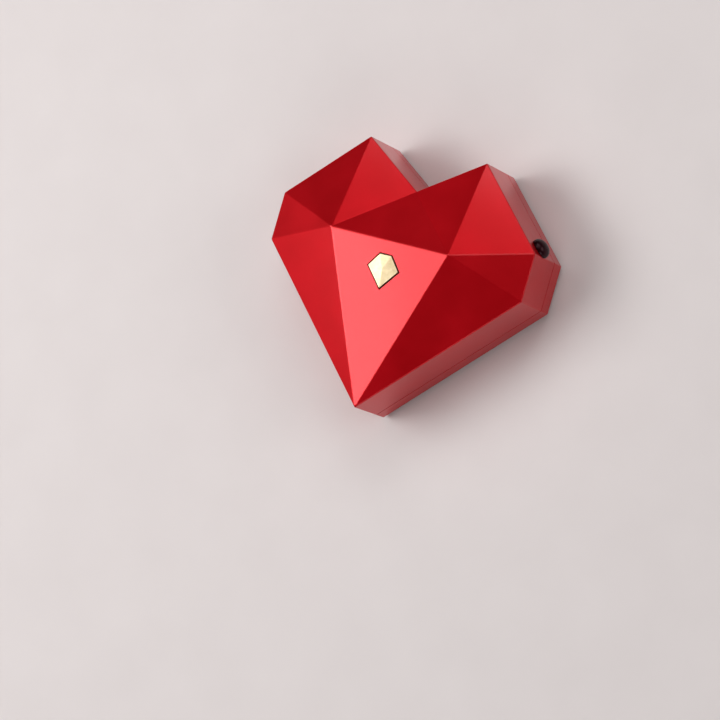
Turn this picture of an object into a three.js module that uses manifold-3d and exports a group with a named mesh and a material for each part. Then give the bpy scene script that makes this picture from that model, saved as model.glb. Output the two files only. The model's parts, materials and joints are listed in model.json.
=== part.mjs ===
// A faceted heart music box that lies on its back: +X right, +Y up along the heart, +Z out of the
// front, in millimetres, standing on its rubber feet at z = 0. The closed two-part case holds an
// 18-note wind-up movement, a winding crown in the right shoulder and a gem-shaped play button.
import * as THREE from 'three';
import { mergeVertices } from 'three/addons/utils/BufferGeometryUtils.js';
import Module from 'manifold-3d';

const wasm = await Module();
wasm.setup();

// ---- Driving dimensions ------------------------------------------------------------------------
// Heart outline, seen from the front (right half; the left half mirrors it).
const HALF_WIDTH = 50;
const PEAK = { x: 23.1, y: 46.8 };
const NOTCH_Y = 31.6;
const SHOULDER_Y = 20.3;
const HIP_Y = 3.0;
const TIP_Y = -46.8;
const APEX = { x: 23.1, y: 11.8 };

// Heights above the surface that the box stands on.
const BACK_Z = 1.5;
const SEAM_Z = 8;
const GIRDLE_Z = 26;
const APEX_RISE = 10.1;

const WALL = 2;
const GAP = 0.3; // between faces that touch
const RUN = 0.2; // radial running clearance round a shaft
const MARGIN = 1; // how far a cutting tool runs past the face that it opens

// Gem button, in the plane of the big front facet: half widths of its top edge and of its widest
// line, and the heights of its corners, counted from the gem's centre.
const GEM = { y: 1.0, topHalf: 2.2, wideHalf: 5.9, top: 5.85, wide: 1.05, bottom: -5.85 };
const GEM_PROUD = 0.8;
const GEM_EDGE = 0.35;
const GEM_HEAD = 1.6;
const GEM_TRAVEL = 1.5;
const GEM_CLEARANCE = 0.45;

// Movement: u runs to the right shoulder, v to the left shoulder, both at 45 degrees.
const DIAGONAL = Math.PI / 4;
const SHAFT_Z = 18.5;
const MODULE = 0.5;
const TEETH = { greatWheel: 40, cylinderPinion: 16, cylinderWheel: 28, governorPinion: 14, wormWheel: 18 };
const BACKLASH = 0.2;
const CENTRE_SLACK = 0.1;
const BARREL_V = -17.7;
const BARREL_RADIUS = 9;
const CYLINDER_RADIUS = 6.2;
const PIN_HEIGHT = 0.7;
const NOTES = 18;
const NOTE_PITCH = 1.05;
const WORM = { u: -12.7, pitchRadius: 1.6, tip: 2.0, root: 1.05, length: 4.2 };
const BED_Z = 5.3;
const BED_THICKNESS = 2;
const PLATE = 1.4; // thickness of the brass brackets
const PIVOT = 0.9; // radius of the arbors' pivots
const SMALL_PIVOT = 0.6; // radius of the governor's shafts

// Where things stand along u: the near face of each bracket, wheel and drum.
const CYLINDER_U = 0.6;
const CYLINDER_HALF = 9.8;
const PINION_U = 13.3;
const WHEEL_U = -11.2;
const LEFT_BRACKET_U = -16.3;
const RIGHT_BRACKET_U = 11.5;
const GOVERNOR_COCK_U = -8.7;
const BARREL_BRACKET_U = 28;
const DRUM_U = 15.2;
const DRUM_LENGTH = 11;
const ARBOR_CLIP_U = 35.2;

// Crown on the shoulder wall.
const CROWN_RADIUS = 3.7;
const CROWN_REACH = 3.6;
const CROWN_RIM = 0.5;
const ARBOR_RADIUS = 1.5;
const SOCKET = { radius: 1.4, depth: 2.2 }; // takes the arbor's end inside the crown
const BUSH = { sleeve: 2.4, flange: 2.9, flangeThickness: 0.9, bore: ARBOR_RADIUS + RUN };

// Fasteners: radii and lengths; a case screw's head sits on its seat above the back.
const CASE_SCREW = { head: 2.4, headHeight: 1.5, shank: 1.2, length: 13, hole: 1.5, cross: true };
const BED_SCREW = { head: 1.9, headHeight: 1.2, shank: 0.9, length: 4.2, hole: 1.2 };
const FRAME_SCREW = { head: 1.9, headHeight: 1.2, shank: 0.9, length: 3, hole: 1.2 };
const COMB_SCREW = { head: 2, headHeight: 1.2, shank: 1, length: 6, hole: 1.3 };
const CASE_SCREW_SEAT = 4.2;

// Places of fasteners and feet: [x, y] on the case, [u, v] on the movement.
const CASE_SCREWS = [[-25, 35], [25, 35], [-43, 6], [43, 6], [0, -36]];
const FEET = {
  foot_upper_left: [-36, 22],
  foot_upper_right: [36, 22],
  foot_lower_left: [-22, -16],
  foot_lower_right: [22, -16],
};
const BED_SCREWS = [[-15.5, 8], [11.5, 12], [25.5, -7.2], [3, -20.5]];

// ---- Values worked out from them ---------------------------------------------------------------
const FLOOR_Z = BACK_Z + WALL;
const BED_TOP = BED_Z + BED_THICKNESS;
const FRAME_BASE = BED_TOP + GAP;
const CYLINDER_V = BARREL_V + (MODULE * (TEETH.greatWheel + TEETH.cylinderPinion)) / 2 + CENTRE_SLACK;
const GOVERNOR_V = CYLINDER_V - (MODULE * (TEETH.cylinderWheel + TEETH.governorPinion)) / 2 - CENTRE_SLACK;
const WORM_V = GOVERNOR_V - (MODULE * TEETH.wormWheel) / 2 - WORM.pitchRadius - CENTRE_SLACK;
const FACET_TILT = Math.atan(APEX_RISE / (APEX.y - TIP_Y));
const WALL_U = (PEAK.x + PEAK.y) / Math.SQRT2;
const FRAME_SCREWS = {
  leftBracket: [-18.4, -8.5],
  rightBracket: [9.3, -14.6],
  barrelBracket: [32.2, BARREL_V],
  governorCock: [-5.3, -14],
  wormBridge: [-3.3, WORM_V],
};
const COMB_SCREWS = [-6.4, 0, 6.4].map((offset) => [CYLINDER_U + offset, 24.8]);

// ---- Materials ---------------------------------------------------------------------------------
function material(color, roughness, metalness) {
  return new THREE.MeshStandardMaterial({ color, roughness, metalness });
}

const MATERIALS = {
  red_paint: material(0xc40a1e, 0.35, 0),
  black_gloss: material(0x0a0809, 0.15, 0),
  gold: material(0xe8c98c, 0.25, 1),
  brass: material(0xc9a24a, 0.3, 1),
  steel: material(0xb8babd, 0.3, 1),
  spring_steel: material(0x6d7480, 0.35, 1),
  zinc: material(0x9a9c9f, 0.5, 1),
  rubber: material(0x151515, 0.9, 0),
  nylon: material(0xe9e6dc, 0.5, 0),
};

// ---- Solids ------------------------------------------------------------------------------------
function toSolid(geometry) {
  const bare = geometry.clone();
  bare.deleteAttribute('normal');
  bare.deleteAttribute('uv');
  const merged = mergeVertices(bare, 1e-4);
  const mesh = new wasm.Mesh({
    numProp: 3,
    vertProperties: new Float32Array(merged.attributes.position.array),
    triVerts: new Uint32Array(merged.index.array),
  });
  return new wasm.Manifold(mesh);
}

function toGeometry(solid) {
  const mesh = solid.getMesh();
  const geometry = new THREE.BufferGeometry();
  geometry.setAttribute('position', new THREE.BufferAttribute(mesh.vertProperties, 3));
  geometry.setIndex(new THREE.BufferAttribute(mesh.triVerts, 1));
  return geometry;
}

function join(...geometries) {
  return toGeometry(geometries.map(toSolid).reduce((whole, next) => whole.add(next)));
}

function cut(geometry, ...tools) {
  return toGeometry(tools.map(toSolid).reduce((rest, tool) => rest.subtract(tool), toSolid(geometry)));
}

function common(first, second) {
  return toGeometry(toSolid(first).intersect(toSolid(second)));
}

function counterClockwise(points) {
  const flat = points.map(([x, y]) => new THREE.Vector2(x, y));
  return THREE.ShapeUtils.isClockWise(flat) ? flat.reverse() : flat;
}

function extrude(points, from, to, holes = []) {
  const shape = new THREE.Shape(counterClockwise(points));
  shape.holes = holes.map((hole) => new THREE.Path(counterClockwise(hole)));
  return new THREE.ExtrudeGeometry(shape, { depth: to - from, bevelEnabled: false }).translate(0, 0, from);
}

function circle(radius, sides = 24, x = 0, y = 0) {
  const step = (2 * Math.PI) / sides;
  const corner = (_, i) => [x + radius * Math.cos(i * step), y + radius * Math.sin(i * step)];
  return Array.from({ length: sides }, corner);
}

function rod(radius, from, to, sides = 24, x = 0, y = 0) {
  return extrude(circle(radius, sides, x, y), from, to);
}

// The same rod at each of a list of [x, y] places.
function rods(places, radius, from, to, sides = 16) {
  return places.map(([x, y]) => rod(radius, from, to, sides, x, y));
}

function ring(outer, inner, from, to, sides = 24) {
  return extrude(circle(outer, sides), from, to, [circle(inner, sides)]);
}

function box(x0, x1, y0, y1, z0, z1) {
  return new THREE.BoxGeometry(x1 - x0, y1 - y0, z1 - z0)
    .translate((x0 + x1) / 2, (y0 + y1) / 2, (z0 + z1) / 2);
}

// A profile of [radius, height] points that starts and ends on the axis, turned about Z.
function turned(profile, sides = 32) {
  const points = profile.map(([radius, height]) => new THREE.Vector2(radius, height));
  return new THREE.LatheGeometry(points, sides).rotateX(Math.PI / 2);
}

// Turns a piece that was drawn along Z so that it runs along u: drawn X becomes v, drawn Y becomes Z.
const ALONG_U = new THREE.Matrix4().makeBasis(
  new THREE.Vector3(0, 1, 0), new THREE.Vector3(0, 0, 1), new THREE.Vector3(1, 0, 0));

function alongU(geometry) {
  return geometry.applyMatrix4(ALONG_U);
}

// Round shaft along u, of several diameters: each step is [radius, where it ends].
function steppedShaft(start, steps, sides) {
  const profile = [[0, start]];
  let from = start;
  for (const [radius, to] of steps) {
    profile.push([radius, from], [radius, to]);
    from = to;
  }
  profile.push([0, from]);
  return alongU(turned(profile, sides));
}

// Round wire along a list of points.
function wire(points, radius, steps, sides = 6) {
  const path = new THREE.CatmullRomCurve3(points);
  const section = new THREE.Shape(circle(radius, sides).map(([x, y]) => new THREE.Vector2(x, y)));
  return new THREE.ExtrudeGeometry(section, { steps, extrudePath: path, bevelEnabled: false });
}

function helixPoints({ radius, from, to, turns, perTurn, start = 0 }) {
  const count = Math.round(turns * perTurn);
  return Array.from({ length: count + 1 }, (_, i) => {
    const angle = start + (2 * Math.PI * i) / perTurn;
    const height = from + ((to - from) * i) / count;
    return new THREE.Vector3(radius * Math.cos(angle), radius * Math.sin(angle), height);
  });
}

// ---- Gears -------------------------------------------------------------------------------------
// Tooth flanks follow the involute of a 20 degree gear; phase is the angle of one tooth's centre.
const PRESSURE = (20 * Math.PI) / 180;
const TOOTH = { above: 0.8 * MODULE, below: 1.1 * MODULE, flankStart: 0.1 * MODULE };
const TOWARDS_LEFT = 0; // direction of +v round a shaft
const TOWARDS_RIGHT = Math.PI; // direction of -v

function involute(angle) {
  return Math.tan(angle) - angle;
}

function halfTooth(teeth, radius) {
  const pitchRadius = (MODULE * teeth) / 2;
  const pressure = Math.acos(Math.min(1, (pitchRadius * Math.cos(PRESSURE)) / radius));
  const thickness = (Math.PI * MODULE - BACKLASH) / 2;
  return thickness / (2 * pitchRadius) + involute(PRESSURE) - involute(pressure);
}

function gearOutline(teeth, phase) {
  const pitchRadius = (MODULE * teeth) / 2;
  const flank = [pitchRadius - TOOTH.below, pitchRadius - TOOTH.flankStart, pitchRadius + TOOTH.above];
  const points = [];
  for (let tooth = 0; tooth < teeth; tooth += 1) {
    const centre = phase + (2 * Math.PI * tooth) / teeth;
    const rising = flank.map((radius) => [radius, centre - halfTooth(teeth, radius)]);
    const falling = flank.map((radius) => [radius, centre + halfTooth(teeth, radius)]).reverse();
    for (const [radius, angle] of [...rising, ...falling]) {
      points.push([radius * Math.cos(angle), radius * Math.sin(angle)]);
    }
  }
  return points;
}

// A gear along u; lightening holes, if any, stand on a circle between its hub and its rim.
function gear({ teeth, from, width, bore, phase, holes = { count: 0 } }) {
  const openings = Array.from({ length: holes.count }, (_, i) => {
    const angle = (2 * Math.PI * i) / holes.count;
    return circle(holes.radius, 14, holes.at * Math.cos(angle), holes.at * Math.sin(angle));
  });
  return alongU(extrude(gearOutline(teeth, phase), from, from + width, [circle(bore, 16), ...openings]));
}

// ---- Case --------------------------------------------------------------------------------------
function heartOutline() {
  const right = [[PEAK.x, PEAK.y], [HALF_WIDTH, SHOULDER_Y], [HALF_WIDTH, HIP_Y]];
  const left = right.map(([x, y]) => [-x, y]).reverse();
  return [[0, TIP_Y], ...left, [0, NOTCH_Y], ...right];
}

// Moves every side of an outline inward (to the right of its direction of travel) by a distance.
function inset(points, distance) {
  const sides = points.map(([x, y], i) => {
    const [nextX, nextY] = points[(i + 1) % points.length];
    const length = Math.hypot(nextX - x, nextY - y);
    const normal = [(nextY - y) / length, (x - nextX) / length];
    return { normal, offset: normal[0] * x + normal[1] * y + distance };
  });
  return points.map((_, i) => {
    const before = sides[(i + sides.length - 1) % sides.length];
    const after = sides[i];
    const cross = before.normal[0] * after.normal[1] - before.normal[1] * after.normal[0];
    return [
      (before.offset * after.normal[1] - after.offset * before.normal[1]) / cross,
      (after.offset * before.normal[0] - before.offset * after.normal[0]) / cross,
    ];
  });
}

// Straight-sided heart with ten flat facets on top. Corners run tip, left hip, left shoulder,
// left peak, notch, right peak, right shoulder, right hip; the two apexes are corners 8 and 9.
function facetedHeart(outline, bottom, girdle, apexHeight) {
  const LEFT_APEX = 8;
  const RIGHT_APEX = 9;
  const facets = [
    [0, RIGHT_APEX, LEFT_APEX], [4, LEFT_APEX, RIGHT_APEX],
    [0, LEFT_APEX, 1], [1, LEFT_APEX, 2], [2, LEFT_APEX, 3], [3, LEFT_APEX, 4],
    [4, RIGHT_APEX, 5], [5, RIGHT_APEX, 6], [6, RIGHT_APEX, 7], [7, RIGHT_APEX, 0],
  ];
  const top = [
    ...outline.map(([x, y]) => [x, y, girdle]),
    [-APEX.x, APEX.y, apexHeight],
    [APEX.x, APEX.y, apexHeight],
  ];
  const corners = [...top, ...outline.map(([x, y]) => [x, y, bottom])];
  const base = (i) => top.length + (i % outline.length);
  const walls = outline.flatMap((_, i) => {
    const next = (i + 1) % outline.length;
    return [[i, next, base(i)], [next, base(i + 1), base(i)]];
  });
  const flat = outline.map(([x, y]) => new THREE.Vector2(x, y));
  const facesDown = ([a, b, c]) => flat[b].clone().sub(flat[a]).cross(flat[c].clone().sub(flat[a])) < 0;
  const floor = THREE.ShapeUtils.triangulateShape(flat, [])
    .map(([a, b, c]) => (facesDown([a, b, c]) ? [a, b, c] : [a, c, b]).map(base));
  const geometry = new THREE.BufferGeometry();
  geometry.setAttribute('position', new THREE.Float32BufferAttribute(corners.flat(), 3));
  geometry.setIndex([...facets, ...walls, ...floor].flat());
  return geometry;
}

const OUTLINE = heartOutline();
const CAVITY = inset(OUTLINE, WALL);

const FACET_FRAME = new THREE.Matrix4()
  .makeTranslation(0, GEM.y, GIRDLE_Z + (GEM.y - TIP_Y) * Math.tan(FACET_TILT))
  .multiply(new THREE.Matrix4().makeRotationX(FACET_TILT));

function onFacet(geometry) {
  return geometry.applyMatrix4(FACET_FRAME);
}

function fromDiagonal([u, v]) {
  return [(u - v) / Math.SQRT2, (u + v) / Math.SQRT2];
}

// ---- Screws ------------------------------------------------------------------------------------
// Shares of the head: height of its upright edge, radius of its flat top, slot half width and reach.
const HEAD_SHAPE = { edge: 0.6, top: 0.75, slotHalf: 0.13, crossReach: 0.6 };

// A screw whose head sits on height 0 and whose shank points down: cross-head or slotted.
function screw({ head, headHeight, shank, length, cross }) {
  const body = turned([
    [0, -length], [shank, -length], [shank, 0], [head, 0],
    [head, headHeight * HEAD_SHAPE.edge], [head * HEAD_SHAPE.top, headHeight], [0, headHeight],
  ], 12);
  const reach = cross ? head * HEAD_SHAPE.crossReach : head + MARGIN;
  const half = head * HEAD_SHAPE.slotHalf;
  const slot = box(-reach, reach, -half, half, headHeight / 2, headHeight + MARGIN);
  return cross ? cut(body, slot, slot.clone().rotateZ(Math.PI / 2)) : cut(body, slot);
}

// ---- Case pieces -------------------------------------------------------------------------------
const BOSS_RADIUS = 3;
const TUBE_WALL = 0.4; // how much thicker the back shell's screw tubes are
const ROOF = { girdleDrop: 1.6, apexDrop: 2.1 }; // how far the cavity stays under the facets
const POCKET_WALL = 1.4;
const POCKET_FLOOR = -GEM_HEAD - GEM_TRAVEL - GAP;
const POCKET_BASE = POCKET_FLOOR - 1;

function screwBosses() {
  const top = GIRDLE_Z + APEX_RISE;
  const lowered = facetedHeart(OUTLINE, SEAM_Z, GIRDLE_Z - MARGIN, top - MARGIN);
  return rods(CASE_SCREWS, BOSS_RADIUS, SEAM_Z + GAP / 2, top, 20).map((boss) => common(boss, lowered));
}

// Corners of the gem run bottom, left, top left, top right, right; grow moves its sides outward.
function gemOutline(grow = 0) {
  const { topHalf, wideHalf, top, wide, bottom } = GEM;
  const corners = [[0, bottom], [-wideHalf, wide], [-topHalf, top], [topHalf, top], [wideHalf, wide]];
  return grow ? inset(corners, -grow) : corners;
}

// Lugs under the big facet that hold the stop lever's pin; each is [from, to] across the facet.
const LUGS = [[-0.7, 0.5], [5.9, 7.1]];
const LUG = { half: 1.5, below: 0.8 };

function pinLugs() {
  return LUGS.map(([from, to]) => onFacet(
    box(from, to, LEVER.pivotT - LUG.half, LEVER.pivotT + LUG.half, PIVOT_N - LUG.below, -MARGIN)));
}

function frontShell() {
  const outer = facetedHeart(OUTLINE, SEAM_Z + GAP / 2, GIRDLE_Z, GIRDLE_Z + APEX_RISE);
  const cavity = facetedHeart(CAVITY, SEAM_Z - MARGIN, GIRDLE_Z - ROOF.girdleDrop,
    GIRDLE_Z + APEX_RISE - ROOF.apexDrop);
  const pocketBoss = onFacet(extrude(gemOutline(GEM_CLEARANCE + POCKET_WALL), POCKET_BASE, -1));
  const pocket = onFacet(extrude(gemOutline(GEM_CLEARANCE), POCKET_FLOOR, 2));
  const plungerHole = onFacet(rod(PLUNGER_RADIUS + RUN, POCKET_BASE - MARGIN, 0, 20));
  const pinHole = onFacet(pinAlongX(PIN_RADIUS + RUN, LUGS[0][0] - MARGIN, LUGS[1][1] + MARGIN));
  const screwEnd = CASE_SCREW_SEAT + CASE_SCREW.length + 1;
  const screwHoles = rods(CASE_SCREWS, CASE_SCREW.hole, SEAM_Z - MARGIN, screwEnd);
  const crownHole = alongU(rod(BUSH.sleeve + GAP, WALL_U - WALL - MARGIN, WALL_U + MARGIN))
    .translate(0, BARREL_V, SHAFT_Z).rotateZ(DIAGONAL);
  return cut(join(cut(outer, cavity), ...screwBosses(), pocketBoss, ...pinLugs()),
    pocket, plungerHole, pinHole, crownHole, ...screwHoles);
}

const SLOTS = { first: -18.5, step: -3.5, count: 4, halfLength: 11, shorter: 2, halfWidth: 0.9 };
const FOOT_RADIUS = 5;
const FOOT_RECESS = 0.8;
const FOOT_CHAMFER = 0.6;
const LIP = { thickness: 1, height: 1.5 };
const BED_POST_RADIUS = 3;

// Sound slot with round ends; each one towards the tip is shorter.
function soundSlot(i) {
  const y = SLOTS.first + SLOTS.step * i;
  const half = SLOTS.halfLength - SLOTS.shorter * i;
  const arc = (centre, start) => Array.from({ length: 7 }, (_, k) => {
    const angle = start + (Math.PI * k) / 6;
    return [centre + SLOTS.halfWidth * Math.cos(angle), y + SLOTS.halfWidth * Math.sin(angle)];
  });
  const outline = [...arc(half, -Math.PI / 2), ...arc(-half, Math.PI / 2)];
  return extrude(outline, BACK_Z - MARGIN, FLOOR_Z + MARGIN);
}

function backShell() {
  const rim = SEAM_Z - GAP / 2;
  const posts = BED_SCREWS.map(fromDiagonal);
  const tray = cut(extrude(OUTLINE, BACK_Z, rim), extrude(CAVITY, FLOOR_Z, SEAM_Z));
  const lip = extrude(inset(OUTLINE, WALL + GAP), FLOOR_Z - 1, SEAM_Z + LIP.height,
    [inset(OUTLINE, WALL + GAP + LIP.thickness)]);
  const tubes = rods(CASE_SCREWS, BOSS_RADIUS + TUBE_WALL, BACK_Z, rim, 20);
  const bedPosts = rods(posts, BED_POST_RADIUS, FLOOR_Z - 1, BED_Z - GAP, 20);
  const seats = rods(CASE_SCREWS, CASE_SCREW.head + GAP, BACK_Z - MARGIN, CASE_SCREW_SEAT + GAP, 20);
  const holes = rods(CASE_SCREWS, CASE_SCREW.hole, BACK_Z - MARGIN, SEAM_Z + MARGIN);
  const bedHoles = rods(posts, BED_SCREW.hole, FLOOR_Z - 0.7, BED_Z);
  const recesses = rods(Object.values(FEET), FOOT_RADIUS + GAP, BACK_Z - MARGIN, BACK_Z + FOOT_RECESS, 28);
  const slots = Array.from({ length: SLOTS.count }, (_, i) => soundSlot(i));
  const shell = join(tray, lip, ...tubes, ...bedPosts);
  return cut(shell, ...seats, ...holes, ...bedHoles, ...recesses, ...slots);
}

function foot() {
  const top = BACK_Z + FOOT_RECESS - GAP;
  return turned([
    [0, 0], [FOOT_RADIUS - FOOT_CHAMFER, 0], [FOOT_RADIUS, FOOT_CHAMFER], [FOOT_RADIUS, top], [0, top],
  ], 28);
}

// ---- Gem button and stop lever -----------------------------------------------------------------
// All of it is drawn in the big facet's frame: x runs across it, t up it and n out of it.
const PLUNGER_RADIUS = 1;
const PLUNGER_TIP = POCKET_BASE - 1.2;
const PLUNGER_TOP = -0.9;
const CLIP_THICKNESS = 0.5;
const PIN_RADIUS = 0.5;
const LEVER = {
  top: PLUNGER_TIP - GAP,
  thickness: 0.8,
  padHalf: 2.2,
  arm: [0.8, 3.7],
  pivotT: -10.8,
  farX: 5.4,
  farT: -25.9,
};
const PIVOT_N = LEVER.top - LEVER.thickness / 2;

// A low five-sided pyramid on an upright edge, hollow underneath for its plunger.
function gemButton() {
  const outline = gemOutline();
  const count = outline.length;
  const corners = [
    ...outline.map(([x, y]) => [x, y, -GEM_HEAD]),
    ...outline.map(([x, y]) => [x, y, GEM_EDGE]),
    [0, GEM.wide, GEM_PROUD],
  ];
  const peak = 2 * count;
  const faces = outline.flatMap((_, i) => {
    const next = (i + 1) % count;
    return [[i, i + count, next], [next, i + count, next + count], [i + count, peak, next + count]];
  });
  const floor = [[0, 1, 2], [0, 2, 3], [0, 3, 4]];
  const geometry = new THREE.BufferGeometry();
  geometry.setAttribute('position', new THREE.Float32BufferAttribute(corners.flat(), 3));
  geometry.setIndex([...faces, ...floor].flat());
  return cut(geometry, rod(PLUNGER_RADIUS + RUN, -GEM_HEAD - MARGIN, PLUNGER_TOP + GAP, 20));
}

function gemPlunger() {
  return rod(PLUNGER_RADIUS, PLUNGER_TIP, PLUNGER_TOP, 20);
}

function plungerClip() {
  const top = POCKET_BASE - GAP;
  const clip = ring(2, PLUNGER_RADIUS + RUN, top - CLIP_THICKNESS, top, 20);
  return cut(clip, box(-0.5, 0.5, 0, 3, top - 2, top + MARGIN));
}

function pinAlongX(radius, from, to, sides = 16) {
  return rod(radius, from, to, sides).rotateY(Math.PI / 2).translate(0, LEVER.pivotT, PIVOT_N);
}

// Pad under the plunger, arm through the pivot, and a brake pad at the far end.
function stopLever() {
  const { top, thickness, padHalf, arm: [armLeft, armRight], pivotT, farX, farT } = LEVER;
  const outline = [
    [-padHalf, padHalf], [padHalf, padHalf], [padHalf, -2], [armRight, pivotT + 2], [armRight, pivotT - 2],
    [farX + padHalf, farT + 1.6], [farX + padHalf, farT - padHalf], [farX - padHalf, farT - padHalf],
    [farX - padHalf, farT + 1.6], [armLeft, pivotT - 2], [armLeft, pivotT + 2], [-padHalf, -2],
  ];
  const blade = extrude(outline, top - thickness, top);
  const bore = PIN_RADIUS + RUN;
  const tube = pinAlongX(bore + 0.4, armLeft, armRight);
  return cut(join(blade, tube), pinAlongX(bore, armLeft - MARGIN, armRight + MARGIN));
}

// Three turns round the lever pin: one leg bears on the lug's root, the other on the lever.
function leverSpring() {
  const coil = helixPoints({ radius: 1.15, from: 5.4, to: 4.2, turns: 3, perTurn: 10, start: Math.PI / 2 })
    .map((point) => new THREE.Vector3(point.z, LEVER.pivotT - point.x, PIVOT_N + point.y));
  const upperLeg = new THREE.Vector3(5.4, LEVER.pivotT + 4, -2.8);
  const lowerLeg = new THREE.Vector3(3.2, LEVER.pivotT - 5, LEVER.top + 0.55);
  return wire([upperLeg, ...coil, lowerLeg], 0.2, 44);
}

// ---- Movement: frame ---------------------------------------------------------------------------
const FOOT_HEIGHT = 1.2; // thickness of the brackets' screwed feet
const BRACKET_CHAMFER = 1.5;

function bedplate() {
  const outline = [
    [-20.8, -22.4], [34.9, -22.4], [34.9, -12.5], [29, -5], [15, -5], [15, 29], [-13, 29], [-20.8, 20],
  ];
  const screwPlaces = [...BED_SCREWS, ...Object.values(FRAME_SCREWS)];
  const holes = screwPlaces.map(([u, v]) => circle(BED_SCREW.hole, 14, u, v));
  return extrude(outline, BED_Z, BED_TOP, [...holes, circle(SMALL_PIVOT + RUN, 14, WORM.u, WORM_V)]);
}

function frameScrewHole([u, v]) {
  return rod(FRAME_SCREW.hole, FRAME_BASE - MARGIN, FRAME_BASE + 2 * FOOT_HEIGHT, 14, u, v);
}

// Upright plate across the shafts, with bores of [v, shaft radius] at shaft height. Its foot reaches
// out to a distance along u, on the stretch of v given, and is held by one screw.
function bracket({ u, thickness = PLATE, side: [low, high], top, bores, foot, screwAt }) {
  const chamfer = BRACKET_CHAMFER;
  const outline = [
    [low, FRAME_BASE], [high, FRAME_BASE], [high, top - chamfer], [high - chamfer, top],
    [low + chamfer, top], [low, top - chamfer],
  ];
  const holes = bores.map(([v, radius]) => circle(radius + RUN, 16, v, SHAFT_Z));
  const plate = alongU(extrude(outline, u, u + thickness, holes));
  const [footLow, footHigh] = foot.side;
  const footPlate = box(Math.min(u, u + foot.reach), Math.max(u + thickness, u + foot.reach),
    footLow, footHigh, FRAME_BASE, FRAME_BASE + FOOT_HEIGHT);
  return cut(join(plate, footPlate), frameScrewHole(screwAt));
}

function leftBracket() {
  return bracket({
    u: LEFT_BRACKET_U,
    side: [-15.8, -1.2],
    top: 21.5,
    bores: [[CYLINDER_V, PIVOT], [GOVERNOR_V, SMALL_PIVOT]],
    foot: { reach: -4.3, side: [-12.5, -4.5] },
    screwAt: FRAME_SCREWS.leftBracket,
  });
}

function rightBracket() {
  return bracket({
    u: RIGHT_BRACKET_U,
    side: [-20.4, -0.8],
    top: 21.8,
    bores: [[CYLINDER_V, PIVOT], [BARREL_V, PIVOT]],
    foot: { reach: -4.5, side: [-18, -11.3] },
    screwAt: FRAME_SCREWS.rightBracket,
  });
}

function barrelBracket() {
  return bracket({
    u: BARREL_BRACKET_U,
    side: [-22, -13.4],
    top: 22.5,
    bores: [[BARREL_V, ARBOR_RADIUS]],
    foot: { reach: 6.6, side: [-21, -14.4] },
    screwAt: FRAME_SCREWS.barrelBracket,
  });
}

function governorCock() {
  return bracket({
    u: GOVERNOR_COCK_U,
    thickness: 1.2,
    side: [-15.9, -12.2],
    top: 20.6,
    bores: [[GOVERNOR_V, SMALL_PIVOT]],
    foot: { reach: 5.4, side: [-15.9, -12.2] },
    screwAt: FRAME_SCREWS.governorCock,
  });
}

// Arched bridge that carries the worm's upper pivot.
const BRIDGE = { bottom: 20.8, top: 21.7, half: 1.6, post: [-7.2, -5.4], baseEnd: -1.2, overhang: 2 };
const SPINDLE_TOP = 22.5;

function wormBridge() {
  const [low, high] = [WORM_V - BRIDGE.half, WORM_V + BRIDGE.half];
  const [postLeft, postRight] = BRIDGE.post;
  const post = box(postLeft, postRight, low, high, FRAME_BASE, BRIDGE.top);
  const arm = box(WORM.u - BRIDGE.overhang, postRight, low, high, BRIDGE.bottom, BRIDGE.top);
  const base = box(postLeft, BRIDGE.baseEnd, low, high, FRAME_BASE, FRAME_BASE + FOOT_HEIGHT);
  const bore = rod(SMALL_PIVOT + RUN, BRIDGE.bottom - MARGIN, BRIDGE.top + MARGIN, 16, WORM.u, WORM_V);
  return cut(join(post, arm, base), bore, frameScrewHole(FRAME_SCREWS.wormBridge));
}

// ---- Movement: comb ----------------------------------------------------------------------------
const COMB = {
  tip: CYLINDER_V + CYLINDER_RADIUS + PIN_HEIGHT + GAP,
  back: 28,
  heel: 21.5,
  longest: 15.5,
  shortest: 10,
  tooth: 0.75,
  thickness: 0.8,
  heelThickness: 1.6,
};
const COMB_BOTTOM = SHAFT_Z - COMB.thickness / 2;
const COMB_TOP = COMB_BOTTOM + COMB.thickness;
const COMB_LEFT = CYLINDER_U - (NOTES * NOTE_PITCH) / 2 - 0.6;
const COMB_RIGHT = 2 * CYLINDER_U - COMB_LEFT;

function noteU(note) {
  return CYLINDER_U + (note - (NOTES - 1) / 2) * NOTE_PITCH;
}

// Steel plate with one tooth for each note, the longest and lowest at the left, on a thick heel.
function comb() {
  const teeth = Array.from({ length: NOTES }, (_, note) => {
    const root = COMB.tip + COMB.longest + ((COMB.shortest - COMB.longest) * note) / (NOTES - 1);
    const [left, right] = [noteU(note) - COMB.tooth / 2, noteU(note) + COMB.tooth / 2];
    return [[left, root], [left, COMB.tip], [right, COMB.tip], [right, root]];
  }).flat();
  const outline = [
    [COMB_LEFT, COMB.back], [COMB_LEFT, COMB.tip + COMB.longest], ...teeth,
    [COMB_RIGHT, COMB.tip + COMB.shortest], [COMB_RIGHT, COMB.back],
  ];
  const plate = extrude(outline, COMB_BOTTOM, COMB_TOP);
  const heel = box(COMB_LEFT, COMB_RIGHT, COMB.heel, COMB.back, COMB_TOP - COMB.heelThickness, COMB_TOP);
  const holes = rods(COMB_SCREWS, COMB_SCREW.hole, COMB_BOTTOM - 3, COMB_TOP + MARGIN, 14);
  return cut(join(plate, heel), ...holes);
}

function combBase() {
  const top = COMB_TOP - COMB.heelThickness - GAP;
  const block = box(COMB_LEFT, COMB_RIGHT, COMB.heel, COMB.back - 0.4, FRAME_BASE, top);
  return cut(block, ...rods(COMB_SCREWS, COMB_SCREW.hole, top - COMB_SCREW.length, top + MARGIN, 14));
}

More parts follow.
